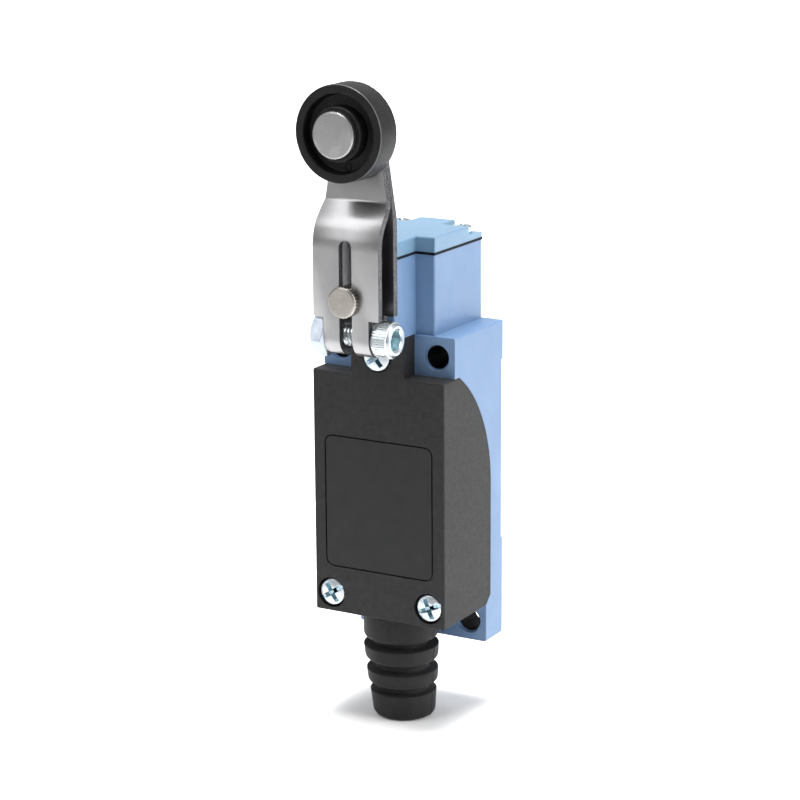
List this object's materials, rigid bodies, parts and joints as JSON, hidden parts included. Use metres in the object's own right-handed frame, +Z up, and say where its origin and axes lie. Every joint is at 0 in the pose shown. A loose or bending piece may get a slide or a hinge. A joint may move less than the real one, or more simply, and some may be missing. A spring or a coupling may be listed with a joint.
{
  "type": "limit switch",
  "caption": "Compact vertical limit switch with a die-cast body, bolted front cover, rubber cable gland and an adjustable roller lever clamped on a rotary shaft.",
  "frame": {"origin": "centre of the four mounting holes on the back mounting plane", "axes": "+Z up along the body towards the roller, -Y out of the front cover, +X to the right seen from the front"},
  "size_m": [0.0286, 0.0394, 0.127],
  "materials": {
    "die_cast_blue": "satin powder-coated zinc casting",
    "cover_black": "fine moulded texture",
    "label_blank": "smooth matte blank plate",
    "cap_blue": "moulded engineering plastic, satin",
    "seal_rubber": "matte nitrile rubber",
    "gland_rubber": "matte moulded rubber",
    "zinc_plate": "bright zinc-plated steel",
    "stainless_strip": "polished stainless strip",
    "satin_nickel": "satin nickel-plated steel",
    "roller_nylon": "satin moulded nylon",
    "bronze": "sintered bronze",
    "brass": "stamped brass",
    "spring_steel": "drawn spring wire",
    "case_phenolic": "moulded phenolic",
    "lid_ivory": "moulded ivory plastic",
    "carrier_red": "moulded acetal"
  },
  "bodies": {
    "body": {"housing": "die_cast_blue", "front_cover": "cover_black", "cover_gasket": "seal_rubber", "label_plate": "label_blank", "head_cap": "cap_blue", "head_cap_gasket": "seal_rubber", "cover_screws": "zinc_plate", "tab_screw": "zinc_plate", "head_cap_screws": "zinc_plate", "shaft_bush": "bronze", "shaft_seal": "seal_rubber", "plunger_guide": "bronze", "plunger_spring": "spring_steel", "cable_gland": "gland_rubber", "switch_case": "case_phenolic", "switch_lid": "lid_ivory", "carrier_spring": "spring_steel", "break_terminal_left": "brass", "break_terminal_right": "brass", "make_terminal_left": "brass", "make_terminal_right": "brass", "terminal_clamps": "zinc_plate", "terminal_screws": "zinc_plate", "switch_case_screws": "zinc_plate", "earth_screw": "zinc_plate"},
    "shaft": {"lever_shaft": "satin_nickel", "shaft_clip": "spring_steel"},
    "arm": {"lever_arm": "stainless_strip", "clamp_bolt": "zinc_plate", "clamp_nut": "zinc_plate", "roller_sleeve": "satin_nickel", "roller_pin": "satin_nickel"},
    "roller": {"roller": "roller_nylon"},
    "plunger": {"plunger": "satin_nickel", "cam_leaf_spring": "spring_steel"},
    "carrier": {"contact_carrier": "carrier_red", "break_bridge": "brass", "make_bridge": "brass"}
  },
  "joints": [
    {"name": "lever_swing", "type": "hinge", "parent": "body", "child": "shaft", "pos_m": [0, -0.0312, 0.0407], "axis": [0, -1, 0], "range_deg": [-75, 75], "stiffness_Nm_per_rad": 0.06, "deforming": ["cam_leaf_spring"]},
    {"name": "lever_length", "type": "slide", "parent": "shaft", "child": "arm", "axis": [0, 0, 1], "range_m": [-0.007, 0.0024]},
    {"name": "roller_spin", "type": "hinge", "parent": "arm", "child": "roller", "pos_m": [0, -0.03445, 0.07186], "axis": [0, -1, 0], "continuous": true},
    {"name": "plunger_press", "type": "slide", "parent": "body", "child": "plunger", "axis": [0, 0, -1], "range_m": [0, 0.0008], "stiffness_N_per_m": 900, "springref_m": -0.001, "deforming": ["plunger_spring"]},
    {"name": "carrier_press", "type": "slide", "parent": "body", "child": "carrier", "axis": [0, 0, -1], "range_m": [0, 0.0008], "deforming": ["carrier_spring"]}
  ],
  "couplings": [
    {"joint": "carrier_press", "follows": "plunger_press", "ratio": 1}
  ]
}
